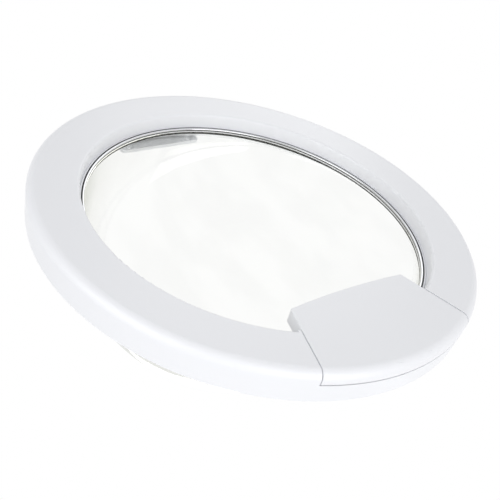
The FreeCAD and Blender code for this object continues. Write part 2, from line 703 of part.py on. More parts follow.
def handle_lever():
    """Bell crank on the handle pin: pad under the handle, arm down to the hook's tail."""
    half = LEVER_HEIGHT / 2
    pad_end = OUTER_R - RIM_ROUND - PAST
    eye = rod(HANDLE_PIVOT_X, HANDLE_PIVOT_DEPTH, -half, half, LEVER_EYE_R)
    arm = upright([
        (LEVER_FACE_X, HANDLE_PIVOT_DEPTH, 0),
        (LEVER_FACE_X + LEVER_ARM, HANDLE_PIVOT_DEPTH, 0),
        (LEVER_FACE_X + LEVER_ARM, LEVER_TIP_DEPTH, TAIL_NOSE_R),
        (LEVER_FACE_X, LEVER_TIP_DEPTH, TAIL_NOSE_R),
    ], -half, half)
    pad = upright([
        (HANDLE_PIVOT_X - LEVER_PAD_LENGTH, HANDLE_WALL, 0),
        (pad_end, HANDLE_WALL, 0),
        (pad_end, HANDLE_PIVOT_DEPTH, 0),
        (LEVER_FACE_X, HANDLE_PIVOT_DEPTH, 0),
        (LEVER_FACE_X, HANDLE_WALL + LEVER_PAD, 0),
        (HANDLE_PIVOT_X - LEVER_PAD_LENGTH, HANDLE_WALL + LEVER_PAD, 0),
    ], -half, half)
    bore = rod(HANDLE_PIVOT_X, HANDLE_PIVOT_DEPTH, -half - PAST, half + PAST, HANDLE_PIN_R + FIT)
    return fused([eye, arm, pad]).cut(bore)


def handle_pin():
    half = HANDLE_PIN_LENGTH / 2
    return pin(HANDLE_PIVOT_X, HANDLE_PIVOT_DEPTH, -half, half, HANDLE_PIN_R)


def handle_spring():
    """Torsion spring on the handle pin, one leg on the pocket floor."""
    length = HANDLE_SPRING_PITCH * HANDLE_SPRING_TURNS
    start = HANDLE_LUG_AT - LUG_GAP - HANDLE_SPRING_WIRE - length
    turns = coil(at(HANDLE_PIVOT_X, HANDLE_PIVOT_DEPTH, start), UP,
                 HANDLE_SPRING_R, HANDLE_SPRING_WIRE, HANDLE_SPRING_PITCH, HANDLE_SPRING_TURNS)
    foot = at(HANDLE_PIVOT_X - HANDLE_SPRING_LEG,
              POCKET_DEPTH - HANDLE_SPRING_WIRE / 2 - SPRING_SEAT_GAP, start)
    bend = at(HANDLE_PIVOT_X + HANDLE_SPRING_R, HANDLE_PIVOT_DEPTH, start)
    knee = Vector(bend.x, foot.y, start)
    elbow = Part.makeSphere(HANDLE_SPRING_WIRE / 2, knee)
    return fused([turns, leg(bend, knee), leg(knee, foot), elbow])


def leg(start, end):
    """Straight piece of the handle spring's wire."""
    along = end - start
    return Part.makeCylinder(HANDLE_SPRING_WIRE / 2, along.Length, start, along)


# Latch pieces

def hook_slot(near, far):
    """Opening that the hook swings in."""
    half = HOOK_HEIGHT / 2 + LATCH_SIDE_GAP
    return block(LATCH_X - HOOK_WIDTH / 2 - HOOK_SLOT_FRONT, LATCH_X + HOOK_WIDTH / 2 + HOOK_SLOT_SWING,
                 near, far, -half, half)


def latch_bracket():
    half = BRACKET_HEIGHT / 2
    base_front = PLATE_FRONT - BRACKET_SHEET
    base = block(TAB_X, BRACKET_END_X, base_front, PLATE_FRONT, -half, half)
    tab = block(TAB_X, TAB_X + BRACKET_TAB, LATCH_DEPTH - BRACKET_TAB_RISE, PLATE_FRONT,
                -BRACKET_TAB_HALF, BRACKET_TAB_HALF)
    ear_start = HOOK_HEIGHT / 2 + LATCH_SIDE_GAP
    ears = []
    for low in (ear_start, -ear_start - LATCH_EAR):
        ears.append(upright([
            (LATCH_X - LATCH_EAR_HALF, LATCH_DEPTH - LATCH_EAR_HALF, LATCH_EAR_ROUND),
            (LATCH_X + LATCH_EAR_HALF, LATCH_DEPTH - LATCH_EAR_HALF, LATCH_EAR_ROUND),
            (LATCH_X + LATCH_EAR_HALF, PLATE_FRONT, 0),
            (LATCH_X - LATCH_EAR_HALF, PLATE_FRONT, 0),
        ], low, low + LATCH_EAR))
    body = fused([base, tab] + ears)
    holes = [stud(LATCH_X, z, 0, RING_DEPTH, SCREW_R + FIT) for z in (LATCH_SCREW_AT, -LATCH_SCREW_AT)]
    bore = rod(LATCH_X, LATCH_DEPTH, -half, half, LATCH_PIN_R + FIT)
    return body.cut(holes + [bore, hook_slot(base_front - PAST, PLATE_FRONT + PAST)])


def latch_hook():
    half_width = HOOK_WIDTH / 2
    half = HOOK_HEIGHT / 2
    tip = LATCH_DEPTH + HOOK_REACH
    nose = tip - HOOK_NOSE_HEIGHT
    tail_front = LATCH_DEPTH - TAIL_RISE - TAIL_NOSE_R
    tail_back = LATCH_DEPTH - TAIL_RISE + TAIL_NOSE_R
    shape = upright([
        (LATCH_X - half_width, tail_front, TAIL_NOSE_R),
        (LATCH_X - half_width, nose, 0),
        (LATCH_X - half_width - HOOK_NOSE, nose, HOOK_POINT_ROUND),
        (LATCH_X - half_width - HOOK_NOSE, nose + HOOK_POINT, HOOK_POINT_ROUND),
        (LATCH_X, tip, HOOK_TIP_ROUND),
        (LATCH_X + half_width, tip, HOOK_TIP_ROUND),
        (LATCH_X + half_width, tail_back + TAIL_NOSE_R, TAIL_NOSE_R),
        (TAIL_X - TAIL_NOSE_R, tail_back, 0),
        (TAIL_X - TAIL_NOSE_R, tail_front, 0),
    ], -half, half)
    eye = rod(LATCH_X, LATCH_DEPTH, -half, half, HOOK_EYE_R)
    tail_nose = rod(TAIL_X - TAIL_NOSE_R, LATCH_DEPTH - TAIL_RISE, -half, half, TAIL_NOSE_R)
    bore = rod(LATCH_X, LATCH_DEPTH, -half - PAST, half + PAST, LATCH_PIN_R + FIT)
    return fused([shape, eye, tail_nose]).cut(bore)


def latch_pin():
    half = HOOK_HEIGHT / 2 + LATCH_SIDE_GAP + LATCH_EAR + PAST
    return pin(LATCH_X, LATCH_DEPTH, -half, half, LATCH_PIN_R)


def latch_spring():
    """Compression spring between the bracket's tab and the hook."""
    room = LATCH_X - HOOK_WIDTH / 2 - TAB_X - BRACKET_TAB
    travel = room - LATCH_SPRING_WIRE - SPRING_SEAT_GAP * 2
    start = TAB_X + BRACKET_TAB + SPRING_SEAT_GAP + LATCH_SPRING_WIRE / 2
    return coil(at(start, LATCH_DEPTH - TAIL_RISE), Vector(1, 0, 0), LATCH_SPRING_R,
                LATCH_SPRING_WIRE, travel / LATCH_SPRING_TURNS, LATCH_SPRING_TURNS)


def latch_screws():
    return Part.makeCompound([
        screw(LATCH_X, z, RING_DEPTH, SCREW_R, SCREW_HEAD_R, LATCH_SCREW_LENGTH)
        for z in (LATCH_SCREW_AT, -LATCH_SCREW_AT)])


PIECES = {
    "outer_frame": outer_frame,
    "inner_frame": inner_frame,
    "trim_ring": trim_ring,
    "glass_seal": glass_seal,
    "glass_bowl": glass_bowl,
    "frame_screws": frame_screws,
    "hinge_plate": hinge_plate,
    "hinge_pin": hinge_pin,
    "hinge_bracket_upper": lambda: hinge_bracket(1),
    "hinge_bracket_lower": lambda: hinge_bracket(-1),
    "hinge_bush_upper": lambda: hinge_bush(1),
    "hinge_bush_lower": lambda: hinge_bush(-1),
    "hinge_screws": hinge_screws,
    "handle": handle,
    "handle_liner": handle_liner,
    "handle_lever": handle_lever,
    "handle_pin": handle_pin,
    "handle_spring": handle_spring,
    "latch_bracket": latch_bracket,
    "latch_hook": latch_hook,
    "latch_pin": latch_pin,
    "latch_spring": latch_spring,
    "latch_screws": latch_screws,
}


def main():
    os.makedirs("parts", exist_ok=True)
    for name, make in PIECES.items():
        shape = make()
        shape.exportStep(f"parts/{name}.step")
        box = shape.BoundBox
        print(f"{name}: solids {len(shape.Solids)}, volume {shape.Volume:.0f}, valid {shape.isValid()}, "
              f"x {box.XMin:.1f}..{box.XMax:.1f} y {box.YMin:.1f}..{box.YMax:.1f} "
              f"z {box.ZMin:.1f}..{box.ZMax:.1f}")


main()
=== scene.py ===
"""Washing machine door: finishes for its parts, cross-head screws, studio and camera."""
import json
import math

import bmesh
import bpy
from bpy.props import FloatProperty, FloatVectorProperty, IntProperty, PointerProperty
from mathutils import Matrix, Quaternion, Vector


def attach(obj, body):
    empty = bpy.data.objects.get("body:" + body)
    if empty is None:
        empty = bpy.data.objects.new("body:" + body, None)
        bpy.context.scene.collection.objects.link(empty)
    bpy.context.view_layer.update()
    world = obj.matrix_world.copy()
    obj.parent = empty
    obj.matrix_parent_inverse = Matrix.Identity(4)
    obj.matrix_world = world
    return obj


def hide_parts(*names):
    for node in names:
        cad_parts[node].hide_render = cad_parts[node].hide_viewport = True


bl_info = {
    "name": "Washing machine door",
    "version": (1, 0, 0),
    "blender": (4, 5, 0),
    "location": "3D View > Sidebar > Door",
    "description": "Finishes, screws, studio and camera for a front loader's door",
    "category": "Object",
}

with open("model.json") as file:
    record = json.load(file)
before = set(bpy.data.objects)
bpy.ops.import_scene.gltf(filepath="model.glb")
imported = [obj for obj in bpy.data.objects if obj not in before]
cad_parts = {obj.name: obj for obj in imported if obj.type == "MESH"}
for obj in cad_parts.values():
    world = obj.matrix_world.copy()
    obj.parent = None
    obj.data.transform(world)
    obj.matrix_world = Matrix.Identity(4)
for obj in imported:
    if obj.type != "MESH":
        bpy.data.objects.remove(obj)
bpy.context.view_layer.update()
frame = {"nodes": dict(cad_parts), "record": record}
NODES = frame["nodes"]
SLOT_COLOURS = {entry["slot"]: entry["base_color"][:3] for entry in frame["record"]["materials"]}

# Optics and grain of the finishes

PLASTIC_IOR = 1.49
COATING_IOR = 1.5
GLASS_IOR = 1.5
EVEN_GRAIN = (1.0, 1.0, 1.0)
GRAIN_ALONG_Y = (1.0, 0.2, 1.0)
GRAIN_ALONG_Z = (1.0, 1.0, 0.05)
FLOOR_DARKEST = (0.82, 0.82, 0.82)
FLOOR_LIGHTEST = (0.86, 0.86, 0.86)
BLACK = (0.0, 0.0, 0.0)

# Shares of a screw head: each step is a share of its height and of its radius

SCREW_SEGMENTS = 24
CROWN_SHARE = 0.72
HEAD_STEPS = ((0.12, 0.88), (0.3, 1.0), (0.58, 1.0))
RECESS_TAPER = 0.7
TIP_SHARE = 0.2


# Sizes and colours

def tone_of(label, words, default):
    """Colour property."""
    return FloatVectorProperty(name=label, description=words, subtype="COLOR", size=3, min=0.0, max=1.0,
                               default=default)


def colour(label, slot, words):
    """Colour property that starts from the record's own colour for a material slot."""
    return tone_of(label, words, SLOT_COLOURS[slot])


def factor(label, words, default):
    """Property between 0 and 1."""
    return FloatProperty(name=label, description=words, subtype="FACTOR", min=0.0, max=1.0, default=default)


def angle(label, words, degrees):
    """Angle property."""
    return FloatProperty(name=label, description=words, subtype="ANGLE", default=math.radians(degrees))


def length(label, words, default):
    """Length property in metres."""
    return FloatProperty(name=label, description=words, unit="LENGTH", subtype="DISTANCE", default=default)


def place(label, words, default):
    """Place property in metres."""
    return FloatVectorProperty(name=label, description=words, subtype="TRANSLATION", size=3,
                               default=default)


def watts(label, words, default):
    """Power property of a lamp."""
    return FloatProperty(name=label, description=words, unit="POWER", min=0.0, default=default)


class DoorFinishes(bpy.types.PropertyGroup):
    """Colours and gloss of the door's materials."""

    white: colour("White", "white_gloss", "Ring, handle and coated hinge")
    white_roughness: factor("White roughness", "Gloss of the ring and handle", 0.3)
    satin: colour("Satin white", "white_satin", "Underside of the grip")
    grey: colour("Pale grey", "pale_grey", "Rear frame")
    chrome: colour("Chrome", "chrome", "Bead between ring and glass")
    rubber: colour("Rubber", "seal_rubber", "Channel round the glass")
    glass: colour("Glass", "clear_glass", "Pressed bowl")
    alloy: colour("Cast alloy", "cast_alloy", "Handle lever")
    steel: colour("Steel", "steel", "Pins and screws")
    plated: colour("Plated steel", "plated_steel", "Hook and its bracket")
    wire: colour("Spring wire", "spring_steel", "Both springs")
    bush: colour("Bush plastic", "bush_plastic", "Hinge bushes")


class DoorWindow(bpy.types.PropertyGroup):
    """Places of the bead round the glass, and the width and tone of the painted shade along its edges."""

    centre: place("Door centre", "A point on the door's axis", (0.196, 0.0, 0.0))
    bead_outer: length("Bead outer radius", "Outer radius of the chrome bead", 0.18315)
    flange_width: length("Flange width", "Width of the bead's white flange beside the ring", 0.002)
    bead_foot: length("Bead foot", "Place along the door's axis where the bead meets the seal", -0.0228)
    # Painted shade: a dark tone laid into the chrome's base colour along both edges of the bead, not a real
    # colour of the plating
    painted_shade_width: length("Crease width", "Width of the dark crease along each edge of the chrome", 0.0014)
    painted_crease_shade: tone_of("Crease", "Colour in the creases along the bead", (0.03, 0.03, 0.032))


class DoorScrews(bpy.types.PropertyGroup):
    """Sizes and places of the screws on the rear frame."""

    centre: place("Door centre", "Where the door's axis meets the heads' seat", (0.196, -0.006, 0.0))
    head_radius: length("Head radius", "Radius of a screw head", 0.004)
    head_height: length("Head height", "Height of a screw head above its seat", 0.0022)
    slot_length: length("Cross length", "Tip to tip length of the cross recess", 0.0046)
    slot_width: length("Cross width", "Width of each arm of the cross recess", 0.00105)
    slot_depth: length("Cross depth", "Depth of the cross recess", 0.0014)
    cross_turn: FloatProperty(name="Cross turn", default=1000.0,
                              description="Radians by which a cross turns for each metre across the door")
    shank_radius: length("Shank radius", "Radius of a frame or latch screw", 0.002)
    hinge_shank_radius: length("Hinge shank radius", "Radius of a hinge screw", 0.0025)
    frame_length: length("Frame screw length", "Length under the head", 0.02)
    hinge_length: length("Hinge screw length", "Length under the head", 0.007)
    latch_length: length("Latch screw length", "Length under the head", 0.009)
    circle: length("Screw circle", "Radius of the frame screws' circle", 0.213)
    first: angle("First angle", "Angle of the first frame screw from the handle", 40)
    step: angle("Step", "Angle between frame screws", 24)
    each_side: IntProperty(name="Each side", description="Frame screws above and below the handle",
                           default=5)
    hinge_circle: length("Hinge screw circle", "Radius of the hinge screws' circle", 0.2091)
    hinge_heights: FloatVectorProperty(name="Hinge screw heights", unit="LENGTH", size=2,
                                       description="Heights above the hinge's middle",
                                       default=(0.064, 0.078))
    latch_reach: length("Latch reach", "Distance of the latch screws from the door's axis", 0.21335)
    latch_height: length("Latch screw height", "Height above and below the hook", 0.015)


class DoorStudio(bpy.types.PropertyGroup):
    """Camera, floor and light."""

    camera_place: place("Camera place", "Where the camera stands", (0.69898, -0.50094, -0.54301))
    camera_aim: place("Camera aim", "Point on the ring's face in the middle of the picture",
                      (0.25157, -0.041, -0.05726))
    camera_roll: angle("Camera roll", "Turn about the line of sight", 75.977)
    camera_near: length("Camera near", "Nearest distance that the camera sees", 0.01)
    lens: FloatProperty(name="Lens", description="Focal length in millimetres", default=61.2)
    floor_height: length("Floor height", "Height of the floor under the hinge", -2.4)
    floor_glow: factor("Floor glow", "White added to the floor where it is seen", 0.29)
    floor_roughness: factor("Floor roughness", "Dullness of the floor", 0.8)
    floor_size: length("Floor size", "Edge of the square floor", 200.0)
    ambient: FloatProperty(name="Ambient", description="Strength of the even light", default=0.7)
    lamp_aim: place("Lamp aim", "Point that every lamp faces", (0.2, -0.03, 0.0))
    face_place: place("Face light place", "Above the face's far side", (-0.35, -0.55, 0.55))
    face_size: length("Face light size", "Edge of the lamp", 0.57)
    face_power: watts("Face light", "Power of the light above the face's far side", 1.0)
    under_place: place("Under light place", "Below the ring", (0.29, -0.42, -1.7))
    under_size: length("Under light size", "Edge of the lamp", 1.5)
    under_power: watts("Under light", "Power of the light below the ring", 11.3)
    side_place: place("Side light place", "At the handle's side", (1.87, -0.42, -0.17))
    side_size: length("Side light size", "Edge of the lamp", 1.5)
    side_power: watts("Side light", "Power of the light at the handle's side", 12.0)
    back_place: place("Back light place", "Behind the door", (0.2, 1.2, 0.4))
    back_size: length("Back light size", "Edge of the lamp", 1.2)
    back_power: watts("Back light", "Power of the light behind the door", 7.0)


# Shader helpers

class Shade:
    """One output socket, with arithmetic that adds Math nodes."""

    def __init__(self, nodes, socket):
        self.nodes = nodes
        self.socket = socket

    def maths(self, operation, first, second):
        return self.nodes.node("ShaderNodeMath", {"operation": operation}, {0: first, 1: second})

    def __add__(self, other):
        return self.maths("ADD", self, other)

    __radd__ = __add__

    def __rsub__(self, other):
        return self.maths("SUBTRACT", other, self)

    def __mul__(self, other):
        return self.maths("MULTIPLY", self, other)

    __rmul__ = __mul__


class Nodes:
    """A node tree that is built from Python expressions."""

    def __init__(self, tree):
        self.tree = tree

    def node(self, kind, settings=None, inputs=None, output=0):
        """Any node: its settings first, then the values or links of its sockets."""
        made = self.tree.nodes.new(kind)
        for key, value in (settings or {}).items():
            setattr(made, key, value)
        for key, value in (inputs or {}).items():
            self.feed(made.inputs[key], value)
        return Shade(self, made.outputs[output])

    def feed(self, socket, value):
        """Links a shade to a socket, or sets the socket's value."""
        if isinstance(value, Shade):
            self.tree.links.new(value.socket, socket)
        else:
            socket.default_value = value


class Finish(Nodes):
    """A material with one Principled surface on Object coordinates."""

    def __init__(self, name, settings):
        self.material = bpy.data.materials.new(name)
        self.material.use_nodes = True
        super().__init__(self.material.node_tree)
        self.surface = self.tree.nodes["Principled BSDF"]
        for socket, value in settings.items():
            self.surface.inputs[socket].default_value = value
        self.coordinates = self.node("ShaderNodeTexCoord", output="Object")

    def put(self, socket, value):
        """Feeds one socket of the surface."""
        self.feed(self.surface.inputs[socket], value)

    def noise(self, scale, detail=2.0, stretch=EVEN_GRAIN):
        """Noise over the surface, stretched along the part's axes."""
        where = self.node("ShaderNodeMapping", inputs={"Vector": self.coordinates, "Scale": stretch})
        return self.node("ShaderNodeTexNoise", inputs={"Vector": where, "Scale": scale, "Detail": detail})

    def blend(self, amount, low, high):
        """Mix of two colours, each a tone or a shade."""
        ends = [tone if isinstance(tone, Shade) else (*tone, 1.0) for tone in (low, high)]
        return self.node("ShaderNodeMix", {"data_type": "RGBA"}, {0: amount, 6: ends[0], 7: ends[1]},
                         output=2)

    def ramp(self, value, start, end):
        """Smooth rise from 0 at start to 1 at end."""
        return self.node("ShaderNodeMapRange", {"interpolation_type": "SMOOTHSTEP"},
                         {"Value": value, "From Min": start, "From Max": end})

    def distance_from_axis(self, centre):
        """Distance from the door's axis, which runs along Y."""
        flat = self.node("ShaderNodeMapping", inputs={"Vector": self.coordinates, "Scale": (1.0, 0.0, 1.0),
                                                      "Location": (-centre[0], 0.0, -centre[2])})
        return self.node("ShaderNodeVectorMath", {"operation": "LENGTH"}, {0: flat}, output="Value")

    def tint(self, amount, tone, darkest, lightest):
        """Base colour that drifts between two shades of one tone."""
        self.put("Base Color", self.blend(amount, *shades(tone, darkest, lightest)))

    def gloss(self, amount, smoothest, spread):
        """Roughness that rises from the smoothest value by up to a spread."""
        self.put("Roughness", smoothest + spread * amount)

    def relief(self, height, depth):
        """Bump from a height between 0 and 1."""
        self.put("Normal", self.node("ShaderNodeBump", inputs={"Height": height, "Distance": depth}))

    def by_ray(self, kind, other, usual):
        """One shader for rays of a kind, and the usual one for all other rays."""
        ray = self.node("ShaderNodeLightPath", output=kind)
        return self.node("ShaderNodeMixShader", inputs={0: ray, 1: usual, 2: other})

    def release_reflections(self, tone):
        """Lets mirrored rays out through the surface, tinted, so that none stays trapped inside."""
        glass = Shade(self, self.surface.outputs["BSDF"])
        clear = self.node("ShaderNodeBsdfTransparent", inputs={"Color": (*tone, 1.0)})
        released = self.by_ray("Is Reflection Ray", clear, glass)
        whole = self.by_ray("Is Diffuse Ray", glass, released)
        self.feed(self.tree.nodes["Material Output"].inputs["Surface"], whole)


def shades(tone, darkest, lightest):
    """Two shades of one tone."""
    return [tuple(min(1.0, channel * share) for channel in tone) for share in (darkest, lightest)]


def moulded_plastic(name, tone, roughness, grain_scale, grain_depth):
    """Moulded plastic: slow drift in tone and gloss, and the fine grain of the tool."""
    spread = 0.06
    finish = Finish(name, {"IOR": PLASTIC_IOR})
    drift = finish.noise(scale=7.0)
    finish.tint(drift, tone, darkest=0.985, lightest=1.012)
    finish.gloss(drift, roughness - spread / 2, spread)
    finish.relief(finish.noise(grain_scale, detail=4.0), grain_depth)
    return finish.material


def plated_metal(name, tone, roughness, grain_depth, stretch=EVEN_GRAIN):
    """Drawn, rolled or plated metal with grain along one axis."""
    spread = 0.1
    finish = Finish(name, {"Metallic": 1.0})
    grain = finish.noise(scale=160.0, detail=4.0, stretch=stretch)
    finish.tint(finish.noise(scale=45.0, detail=3.0), tone, darkest=0.92, lightest=1.06)
    finish.gloss(grain, roughness - spread / 2, spread)
    finish.relief(grain, grain_depth)
    return finish.material


def cast_metal(name, tone):
    """Cast alloy, shot-blasted, with small pits."""
    finish = Finish(name, {"Metallic": 1.0})
    pits = finish.noise(scale=900.0, detail=3.0)
    finish.tint(finish.noise(scale=30.0, detail=4.0), tone, darkest=0.88, lightest=1.08)
    finish.gloss(pits, smoothest=0.38, spread=0.16)
    finish.relief(pits, depth=0.00012)
    return finish.material


def powder_coat(name, tone):
    """Casting with a pale powder coat: soft gloss over a fine orange-peel."""
    finish = Finish(name, {"IOR": COATING_IOR})
    peel = finish.noise(scale=650.0)
    finish.tint(finish.noise(scale=30.0, detail=3.0), tone, darkest=0.97, lightest=1.04)
    finish.gloss(peel, smoothest=0.4, spread=0.12)
    finish.relief(peel, depth=0.00006)
    return finish.material


def moulded_rubber(name, tone):
    """Matt rubber with a dusty bloom."""
    finish = Finish(name, {"IOR": COATING_IOR})
    bloom = finish.noise(scale=60.0, detail=4.0)
    finish.tint(bloom, tone, darkest=0.92, lightest=1.06)
    finish.gloss(bloom, smoothest=0.55, spread=0.2)
    finish.relief(finish.noise(scale=700.0, detail=3.0), depth=0.00006)
    return finish.material


def bright_chrome(name, tone, flange_tone, sizes):
    """Chrome plating with polish haze, painted shade along both edges of the chrome, and a white flange
    outside it.
    """
    polished = 0.03
    hazy = 0.05
    moulded = 0.15
    finish = Finish(name, {"IOR": PLASTIC_IOR})
    haze = finish.noise(scale=120.0, detail=3.0)
    radius = finish.distance_from_axis(sizes.centre)
    along = finish.node("ShaderNodeSeparateXYZ", inputs={0: finish.coordinates}, output="Y")
    width = sizes.painted_shade_width
    seam = width / 8
    fade = width / 4
    chrome_edge = sizes.bead_outer - sizes.flange_width
    flange = finish.ramp(radius, chrome_edge - seam, chrome_edge + seam)
    # Masks of the painted shade: one along the chrome's outer edge, one at its foot by the seal
    outer = finish.ramp(radius, chrome_edge - width - fade, chrome_edge - width)
    foot = finish.ramp(along, sizes.bead_foot - width, sizes.bead_foot - width + 2 * fade)
    polish = finish.blend(haze, *shades(tone, darkest=0.82, lightest=0.88))
    # Where either mask rises, the chrome's colour turns to the painted shade tone
    plating = finish.blend(outer + foot, polish, sizes.painted_crease_shade)
    finish.put("Base Color", finish.blend(flange, plating, flange_tone))
    finish.put("Metallic", 1.0 - flange)
    finish.put("Roughness", polished + hazy * haze + moulded * flange)
    return finish.material


def pressed_glass(name, tone):
    """Clear pressed glass: smooth, with the faint waves and streaks that pressing leaves."""
    mirror_tint = (0.9, 0.9, 0.87)
    grazing_tone = (0.5, 0.53, 0.5)
    streak_stretch = (1.0, 1.0, 2.6)
    roughest = 0.01
    finish = Finish(name, {"Transmission Weight": 1.0, "IOR": GLASS_IOR,
                           "Specular Tint": (*mirror_tint, 1.0)})
    waves = finish.noise(scale=22.0, detail=1.0)
    streaks = finish.ramp(finish.noise(scale=11.0, stretch=streak_stretch), start=0.35, end=0.65)
    body = finish.blend(streaks, *shades(tone, darkest=0.98, lightest=1.015))
    slant = finish.node("ShaderNodeLayerWeight", inputs={"Blend": 0.5}, output="Facing")
    finish.put("Base Color", finish.blend(finish.ramp(slant, start=0.6, end=1.0), body, grazing_tone))
    finish.put("Roughness", roughest * waves)
    finish.relief(waves, depth=0.0004)
    finish.release_reflections(mirror_tint)
    return finish.material


def dress(material, *names):
    """Gives CAD nodes a finish."""
    for name in names:
        slots = NODES[name].material_slots
        slots[0].link = "OBJECT"
        slots[0].material = material


# Screw shapes

def cross_outline(shape, half_length, half_width):
    """Ring of twelve edges round a cross in the plane of the head."""
    corner = [(half_length, -half_width), (half_length, half_width), (half_width, half_width)]
    turns = [Matrix.Rotation(math.radians(90 * quarter), 2) for quarter in range(4)]
    flat = [turn @ Vector(point) for turn in turns for point in corner]
    vertices = [shape.verts.new((point.x, 0.0, point.y)) for point in flat]
    return [shape.edges.new((vertices[index - 1], vertices[index])) for index in range(len(vertices))]


def lowered(shape, edges, y_shift, scale):
    """Extrudes a ring of edges along the screw and scales the new ring about the screw's axis."""
    grown = bmesh.ops.extrude_edge_only(shape, edges=edges)["geom"]
    vertices = [item for item in grown if isinstance(item, bmesh.types.BMVert)]
    bmesh.ops.scale(shape, vec=(scale, 1.0, scale), verts=vertices)
    bmesh.ops.translate(shape, vec=(0.0, y_shift, 0.0), verts=vertices)
    ring = set(vertices)
    return [item for item in grown if isinstance(item, bmesh.types.BMEdge) and ring.issuperset(item.verts)]


def screw_mesh(sizes, shank_radius, shank_length):
    """Pan-head screw with a cross recess, its seat at the origin and its head towards +Y."""
    shape = bmesh.new()
    head = sizes.head_height
    crown = CROWN_SHARE
    made = bmesh.ops.create_circle(shape, cap_ends=False, segments=SCREW_SEGMENTS,
                                   radius=sizes.head_radius * crown,
                                   matrix=Matrix.Rotation(math.radians(90), 4, "X"))
    rim = list({edge for vertex in made["verts"] for edge in vertex.link_edges})
    cross = cross_outline(shape, sizes.slot_length / 2, sizes.slot_width / 2)
    bmesh.ops.bridge_loops(shape, edges=rim + cross)
    floor = lowered(shape, cross, -sizes.slot_depth, RECESS_TAPER)
    bmesh.ops.edgeloop_fill(shape, edges=floor)
    for drop, radius in HEAD_STEPS:
        rim = lowered(shape, rim, -head * drop, radius / crown)
        crown = radius
    rim = lowered(shape, rim, 0.0, shank_radius / sizes.head_radius)
    rim = lowered(shape, rim, -shank_length + shank_radius, 1.0)
    rim = lowered(shape, rim, -shank_radius, TIP_SHARE)
    bmesh.ops.edgeloop_fill(shape, edges=rim)
    bmesh.ops.translate(shape, vec=(0.0, head, 0.0), verts=shape.verts)
    bmesh.ops.recalc_face_normals(shape, faces=shape.faces)
    return shape


def link_mesh(name, shape):
    """Turns a finished bmesh into an object in the scene."""
    mesh = bpy.data.meshes.new(name)
    shape.to_mesh(mesh)
    shape.free()
    piece = bpy.data.objects.new(name, mesh)
    bpy.context.scene.collection.objects.link(piece)
    return piece


def screw_group(name, sizes, places, shank_radius, shank_length):
    """One object with a screw at each place (x, z) about the door's axis."""
    group = bmesh.new()
    for x, z in places:
        single = screw_mesh(sizes, shank_radius, shank_length)
        turn = Matrix.Rotation(x * sizes.cross_turn, 3, "Y")
        bmesh.ops.rotate(single, cent=(0.0, 0.0, 0.0), matrix=turn, verts=single.verts)
        bmesh.ops.translate(single, vec=Vector(sizes.centre) + Vector((x, 0.0, z)), verts=single.verts)
        mesh = bpy.data.meshes.new("one_screw")
        single.to_mesh(mesh)
        single.free()
        group.from_mesh(mesh)
        bpy.data.meshes.remove(mesh)
    return link_mesh(name, group)


# Studio

def seen_directly(nodes):
    """One where a ray comes from the camera, from gloss or through glass."""
    seen = nodes.node("ShaderNodeLightPath", output="Is Camera Ray")
    path = seen.socket.node
    for name in ("Is Glossy Ray", "Is Transmission Ray"):
        seen = seen.maths("MAXIMUM", seen, Shade(nodes, path.outputs[name]))
    return seen


def lay_floor(studio):
    """Plain pale floor below the door."""
    shape = bmesh.new()
    bmesh.ops.create_grid(shape, x_segments=1, y_segments=1, size=studio.floor_size / 2)
    bmesh.ops.translate(shape, vec=(0.0, 0.0, studio.floor_height), verts=shape.verts)
    floor = link_mesh("floor", shape)
    finish = Finish("pale_floor", {"Roughness": studio.floor_roughness, "Emission Strength": 1.0})
    glow = (studio.floor_glow,) * 3
    finish.put("Base Color", finish.blend(finish.noise(scale=2.0), FLOOR_DARKEST, FLOOR_LIGHTEST))
    finish.put("Emission Color", finish.blend(seen_directly(finish), BLACK, glow))
    floor.data.materials.append(finish.material)


def light_world(studio):
    """White surroundings where they are seen directly, and even light for the rest."""
    world = bpy.data.worlds.new("white_room")
    world.use_nodes = True
    bpy.context.scene.world = world
    nodes = Nodes(world.node_tree)
    background = world.node_tree.nodes["Background"]
    background.inputs["Color"].default_value = (1.0, 1.0, 1.0, 1.0)
    strength = studio.ambient + (1.0 - studio.ambient) * seen_directly(nodes)
    nodes.feed(background.inputs["Strength"], strength)


def add_softbox(studio, side):
    """Square area light that faces the door, hidden from the camera and behind glass."""
    name = side + "_light"
    where = Vector(getattr(studio, side + "_place"))
    lamp = bpy.data.lights.new(name, "AREA")
    lamp.energy = getattr(studio, side + "_power")
    lamp.shape = "SQUARE"
    lamp.size = getattr(studio, side + "_size")
    lamp_object = bpy.data.objects.new(name, lamp)
    lamp_object.location = where
    lamp_object.visible_camera = False
    lamp_object.visible_transmission = False
    lamp_object.rotation_mode = "QUATERNION"
    lamp_object.rotation_quaternion = (Vector(studio.lamp_aim) - where).to_track_quat("-Z", "Y")
    bpy.context.scene.collection.objects.link(lamp_object)


def set_camera(studio):
    """Camera below and in front of the door, turned about its line of sight."""
    camera = bpy.data.cameras.new("camera")
    camera.lens = studio.lens
    camera.clip_start = studio.camera_near
    camera_object = bpy.data.objects.new("camera", camera)
    sight = Vector(studio.camera_aim) - Vector(studio.camera_place)
    camera_object.location = studio.camera_place
    camera_object.rotation_mode = "QUATERNION"
    camera_object.rotation_quaternion = (sight.to_track_quat("-Z", "Y")
                                         @ Quaternion((0.0, 0.0, 1.0), studio.camera_roll))
    bpy.context.scene.collection.objects.link(camera_object)
    bpy.context.scene.camera = camera_object


# Operators

class DOOR_OT_mouldings(bpy.types.Operator):
    """Finishes the white ring, the handle and the underside of its grip"""

    bl_idname = "door.mouldings"
    bl_label = "White mouldings"

    def execute(self, context):
        finishes = context.scene.door_finishes
        white = moulded_plastic("white_gloss_moulding", finishes.white, finishes.white_roughness,
                                grain_scale=260.0, grain_depth=0.00001)
        dress(white, "outer_frame", "handle")
        satin = moulded_plastic("satin_grip_lining", finishes.satin, roughness=0.42,
                                grain_scale=700.0, grain_depth=0.00004)
        dress(satin, "handle_liner")
        return {"FINISHED"}


